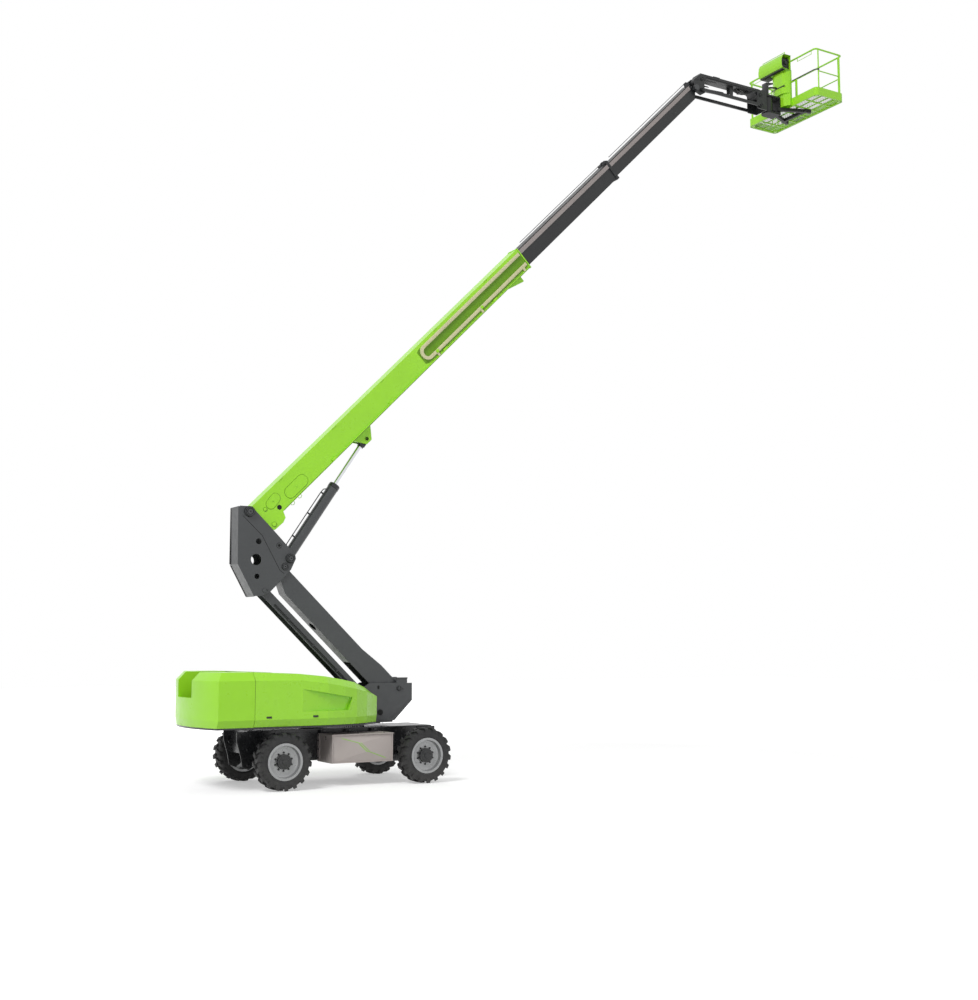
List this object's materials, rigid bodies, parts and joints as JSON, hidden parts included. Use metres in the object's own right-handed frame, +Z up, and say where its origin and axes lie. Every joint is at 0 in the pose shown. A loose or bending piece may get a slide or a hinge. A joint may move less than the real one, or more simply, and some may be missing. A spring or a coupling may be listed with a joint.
{
  "type": "articulated telescopic boom lift",
  "caption": "Self-propelled articulated boom lift with slewing turntable, parallelogram riser, three-section telescopic boom, jib and rotating work platform.",
  "frame": {"origin": "on the ground under the middle of the whole lift's length and width, in the pose of the picture", "axes": "+X towards the platform, +Y to the machine's left, +Z up"},
  "size_m": [15.8598, 2.49, 17.222],
  "materials": {
    "black_paint": "satin",
    "pin_steel": "satin",
    "taupe_paint": "satin",
    "tyre_rubber": "matte",
    "rim_paint": "satin",
    "counterweight_casting": "satin",
    "dark_grey_paint": "satin",
    "green_cover": "satin",
    "chrome_rod": "polished",
    "green_paint": "satin",
    "cream_track": "matte",
    "boom_dark_paint": "satin"
  },
  "bodies": {
    "chassis": {"chassis_frame": "black_paint", "slew_ring": "pin_steel", "side_box_left": "taupe_paint", "side_box_right": "taupe_paint", "front_axle": "black_paint", "rear_axle": "black_paint"},
    "steer_left": {"steer_knuckle_left": "black_paint"},
    "steer_right": {"steer_knuckle_right": "black_paint"},
    "wheel_front_left": {"tyre_front_left": "tyre_rubber", "rim_front_left": "rim_paint"},
    "wheel_front_right": {"tyre_front_right": "tyre_rubber", "rim_front_right": "rim_paint"},
    "wheel_rear_left": {"tyre_rear_left": "tyre_rubber", "rim_rear_left": "rim_paint"},
    "wheel_rear_right": {"tyre_rear_right": "tyre_rubber", "rim_rear_right": "rim_paint"},
    "turntable": {"turntable_base": "black_paint", "counterweight": "counterweight_casting", "engine_block": "black_paint", "tower": "dark_grey_paint"},
    "hood_left_cover": {"hood_left": "green_cover"},
    "hood_right_cover": {"hood_right": "green_cover"},
    "upper_riser": {"upper_riser_arm": "dark_grey_paint"},
    "lower_riser": {"lower_riser_arm": "dark_grey_paint"},
    "riser_barrel": {"riser_cylinder_barrel": "black_paint"},
    "riser_rod": {"riser_cylinder_rod": "chrome_rod"},
    "link": {"link_plates": "dark_grey_paint"},
    "boom_pin": {"main_boom_pin": "pin_steel"},
    "boom_base": {"boom_base_section": "green_paint", "cable_track": "cream_track"},
    "boom_middle": {"boom_section_two": "boom_dark_paint", "tray_section_two": "taupe_paint"},
    "boom_tip": {"boom_section_three": "boom_dark_paint", "tray_section_three": "taupe_paint"},
    "lift_pin": {"lift_cylinder_pin": "pin_steel"},
    "lift_barrel": {"lift_cylinder_barrel": "dark_grey_paint"},
    "lift_guide": {"lift_cylinder_guide": "pin_steel"},
    "lift_rod": {"lift_cylinder_rod": "chrome_rod"},
    "tip_pin": {"knuckle_pin": "pin_steel"},
    "knuckle": {"jib_knuckle": "boom_dark_paint"},
    "jib_arm": {"jib_upper_arm": "boom_dark_paint"},
    "jib_bars": {"jib_lower_bar_left": "boom_dark_paint", "jib_lower_bar_right": "boom_dark_paint"},
    "jib_barrel": {"jib_cylinder_barrel": "black_paint"},
    "jib_rod": {"jib_cylinder_rod": "chrome_rod"},
    "jib_head": {"jib_end": "boom_dark_paint"},
    "platform": {"platform_support": "black_paint", "platform_floor": "green_paint", "platform_rails": "green_paint", "toe_boards": "green_paint", "control_console": "green_paint", "lower_panel": "green_paint"},
    "entry": {"entry_bar": "black_paint"}
  },
  "joints": [
    {"name": "slew", "type": "hinge", "parent": "chassis", "child": "turntable", "pos_m": [-4.98, 0, 1.1], "axis": [0, 0, 1], "continuous": true},
    {"name": "steer_left", "type": "hinge", "parent": "chassis", "child": "steer_left", "pos_m": [-6.4165, 0.8, 0.52], "axis": [0, 0, 1], "range_deg": [-30, 30]},
    {"name": "steer_right", "type": "hinge", "parent": "chassis", "child": "steer_right", "pos_m": [-6.4165, -0.8, 0.52], "axis": [0, 0, 1], "range_deg": [-30, 30]},
    {"name": "wheel_front_left", "type": "hinge", "parent": "chassis", "child": "wheel_front_left", "pos_m": [-3.5435, 1, 0.52], "axis": [0, 1, 0], "continuous": true},
    {"name": "wheel_front_right", "type": "hinge", "parent": "chassis", "child": "wheel_front_right", "pos_m": [-3.5435, -1, 0.52], "axis": [0, 1, 0], "continuous": true},
    {"name": "wheel_rear_left", "type": "hinge", "parent": "steer_left", "child": "wheel_rear_left", "pos_m": [-6.4165, 1, 0.52], "axis": [0, 1, 0], "continuous": true},
    {"name": "wheel_rear_right", "type": "hinge", "parent": "steer_right", "child": "wheel_rear_right", "pos_m": [-6.4165, -1, 0.52], "axis": [0, 1, 0], "continuous": true},
    {"name": "hood_left_lid", "type": "hinge", "parent": "turntable", "child": "hood_left_cover", "pos_m": [-6.48, 0.408, 2.068], "axis": [1, 0, 0], "range_deg": [0, 55]},
    {"name": "hood_right_lid", "type": "hinge", "parent": "turntable", "child": "hood_right_cover", "pos_m": [-6.48, -0.408, 2.068], "axis": [-1, 0, 0], "range_deg": [0, 55]},
    {"name": "riser_lift", "type": "hinge", "parent": "turntable", "child": "upper_riser", "pos_m": [-3.663, 0, 1.764], "axis": [0, 1, 0], "range_deg": [-42.9, 16.1]},
    {"name": "lower_riser_turn", "type": "hinge", "parent": "turntable", "child": "lower_riser", "pos_m": [-4.07, 0, 1.305], "axis": [0, 1, 0], "range_deg": [-43, 16.2]},
    {"name": "link_level", "type": "hinge", "parent": "upper_riser", "child": "link", "pos_m": [-6.079, 0, 4.089], "axis": [0, 1, 0], "range_deg": [-16.2, 43]},
    {"name": "riser_cylinder_turn", "type": "hinge", "parent": "turntable", "child": "riser_barrel", "pos_m": [-4.48, 0, 1.27], "axis": [0, 1, 0], "range_deg": [-6, 6]},
    {"name": "riser_cylinder_stroke", "type": "slide", "parent": "riser_barrel", "child": "riser_rod", "axis": [0.5577, 0, 0.83], "range_m": [-0.2876, 0.1092]},
    {"name": "boom_lower", "type": "hinge", "parent": "link", "child": "boom_pin", "pos_m": [-6.807, 0, 5.103], "axis": [0, -1, 0], "range_deg": [-45, 0]},
    {"name": "boom_raise", "type": "hinge", "parent": "boom_pin", "child": "boom_base", "pos_m": [-6.807, 0, 5.103], "axis": [0, -1, 0], "range_deg": [0, 30]},
    {"name": "lift_swing_low", "type": "hinge", "parent": "link", "child": "lift_pin", "pos_m": [-5.977, 0, 4.246], "axis": [0, -1, 0], "range_deg": [-50, 0.5]},
    {"name": "lift_swing_high", "type": "hinge", "parent": "lift_pin", "child": "lift_barrel", "pos_m": [-5.977, 0, 4.246], "axis": [0, -1, 0], "range_deg": [-0.5, 26]},
    {"name": "lift_stroke_low", "type": "slide", "parent": "lift_barrel", "child": "lift_guide", "axis": [0.5554, 0, 0.8316], "range_m": [-0.895, 0.003]},
    {"name": "lift_stroke_high", "type": "slide", "parent": "lift_guide", "child": "lift_rod", "axis": [0.5554, 0, 0.8316], "range_m": [-0.003, 0.565]},
    {"name": "boom_extend", "type": "slide", "parent": "boom_base", "child": "boom_middle", "axis": [0.7071, 0, 0.7071], "range_m": [-3.2, 2.6]},
    {"name": "boom_extend_tip", "type": "slide", "parent": "boom_middle", "child": "boom_tip", "axis": [0.7071, 0, 0.7071], "range_m": [-3.21, 2.61]},
    {"name": "level_low", "type": "hinge", "parent": "boom_tip", "child": "tip_pin", "pos_m": [4.15033, 0, 15.80011], "axis": [0, -1, 0], "range_deg": [-0.5, 45.5]},
    {"name": "level_high", "type": "hinge", "parent": "tip_pin", "child": "knuckle", "pos_m": [4.15033, 0, 15.80011], "axis": [0, -1, 0], "range_deg": [-30.5, 0.5]},
    {"name": "jib_lift", "type": "hinge", "parent": "knuckle", "child": "jib_arm", "pos_m": [4.32, 0, 16.05], "axis": [0, -1, 0], "range_deg": [-60, 60]},
    {"name": "jib_bar_turn", "type": "hinge", "parent": "knuckle", "child": "jib_bars", "pos_m": [4.32, 0, 15.78], "axis": [0, -1, 0], "range_deg": [-61, 61]},
    {"name": "jib_end_level", "type": "hinge", "parent": "jib_arm", "child": "jib_head", "pos_m": [6.16, 0, 16.05], "axis": [0, -1, 0], "range_deg": [-61, 61]},
    {"name": "jib_cylinder_turn", "type": "hinge", "parent": "knuckle", "child": "jib_barrel", "pos_m": [4.355, 0, 15.872], "axis": [0, -1, 0], "range_deg": [-66, 66]},
    {"name": "jib_cylinder_stroke", "type": "slide", "parent": "jib_barrel", "child": "jib_rod", "axis": [0.9983, 0, 0.0582], "range_m": [-0.1644, 0.1644]},
    {"name": "platform_rotate", "type": "hinge", "parent": "jib_head", "child": "platform", "pos_m": [6.55, 0, 15.9], "axis": [0, 0, 1], "range_deg": [-85, 85]},
    {"name": "entry_bar_lift", "type": "slide", "parent": "platform", "child": "entry", "axis": [0, 0, 1], "range_m": [0, 0.4]}
  ],
  "couplings": [
    {"joint": "steer_right", "follows": "steer_left", "ratio": 1},
    {"joint": "lower_riser_turn", "follows": "riser_lift", "ratio": 1},
    {"joint": "link_level", "follows": "riser_lift", "ratio": -1},
    {"joint": "riser_cylinder_turn", "follows": "riser_lift", "ratio": -0.1002},
    {"joint": "riser_cylinder_stroke", "follows": "riser_lift", "m_per_rad": 0.3815},
    {"joint": "lift_swing_low", "follows": "boom_lower", "ratio": 1.102},
    {"joint": "lift_swing_high", "follows": "boom_raise", "ratio": 0.843},
    {"joint": "lift_stroke_low", "follows": "boom_lower", "m_per_rad": 1.1357},
    {"joint": "lift_stroke_high", "follows": "boom_raise", "m_per_rad": 1.0714},
    {"joint": "boom_extend_tip", "follows": "boom_extend", "ratio": 1},
    {"joint": "level_low", "follows": "boom_lower", "ratio": -1},
    {"joint": "level_high", "follows": "boom_raise", "ratio": -1},
    {"joint": "jib_bar_turn", "follows": "jib_lift", "ratio": 1},
    {"joint": "jib_end_level", "follows": "jib_lift", "ratio": -1},
    {"joint": "jib_cylinder_turn", "follows": "jib_lift", "ratio": 1.0213},
    {"joint": "jib_cylinder_stroke", "follows": "jib_lift", "m_per_rad": 0.1551}
  ]
}
